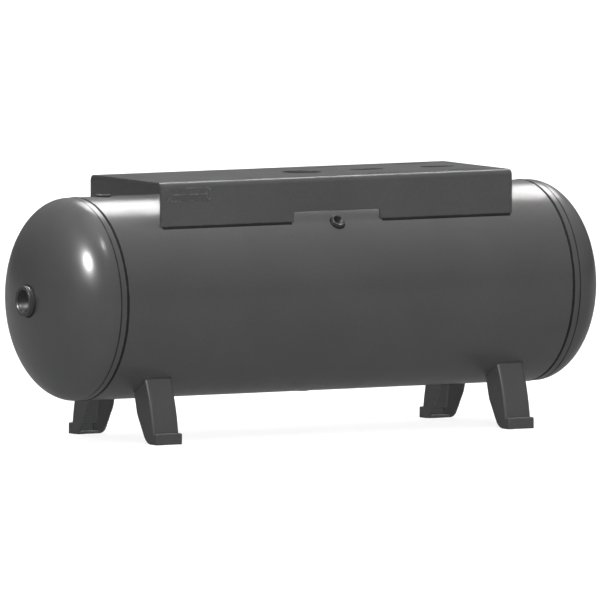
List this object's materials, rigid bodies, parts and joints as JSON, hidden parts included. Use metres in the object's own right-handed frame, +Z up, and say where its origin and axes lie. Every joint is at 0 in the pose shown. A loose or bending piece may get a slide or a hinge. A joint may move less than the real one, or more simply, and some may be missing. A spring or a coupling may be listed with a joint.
{
  "type": "horizontal pressure tank",
  "caption": "Horizontal cylindrical air receiver with dished ends, a bent mounting plate on top, threaded couplings and four pressed feet.",
  "frame": {"origin": "on the floor under the middle of the tank", "axes": "+X along the tank towards the slotted end of the top plate, +Y to the rear, +Z up; the front with the data plate faces -Y"},
  "size_m": [1.608, 0.5108, 0.6516],
  "materials": {
    "tank_paint": "semi-gloss grey enamel",
    "plate_paint": "semi-gloss grey enamel",
    "leg_paint": "semi-gloss grey enamel",
    "weld_paint": "painted weld bead",
    "coupling_paint": "painted steel, bare thread inside",
    "data_plate_metal": "blank satin plate",
    "rivet_metal": "satin rivet heads"
  },
  "bodies": {
    "root": {"centre_top_coupling": "coupling_paint", "centre_top_coupling_weld": "weld_paint", "data_plate": "data_plate_metal", "data_plate_rivets": "rivet_metal", "drain_coupling": "coupling_paint", "end_coupling_left": "coupling_paint", "end_coupling_right": "coupling_paint", "end_weld_left": "weld_paint", "end_weld_right": "weld_paint", "foot_plate_front_left": "leg_paint", "foot_plate_front_right": "leg_paint", "foot_plate_rear_left": "leg_paint", "foot_plate_rear_right": "leg_paint", "front_coupling": "coupling_paint", "front_coupling_weld": "weld_paint", "girth_weld_left": "weld_paint", "girth_weld_right": "weld_paint", "head_left": "tank_paint", "head_right": "tank_paint", "leg_front_left": "leg_paint", "leg_front_right": "leg_paint", "leg_rear_left": "leg_paint", "leg_rear_right": "leg_paint", "leg_weld_front_left": "weld_paint", "leg_weld_front_right": "weld_paint", "leg_weld_rear_left": "weld_paint", "leg_weld_rear_right": "weld_paint", "plate_weld_front": "weld_paint", "plate_weld_rear": "weld_paint", "rear_coupling": "coupling_paint", "rear_coupling_weld": "weld_paint", "seam_weld": "weld_paint", "shell": "tank_paint", "top_coupling": "coupling_paint", "top_coupling_weld": "weld_paint", "top_plate": "plate_paint"}
  },
  "joints": []
}
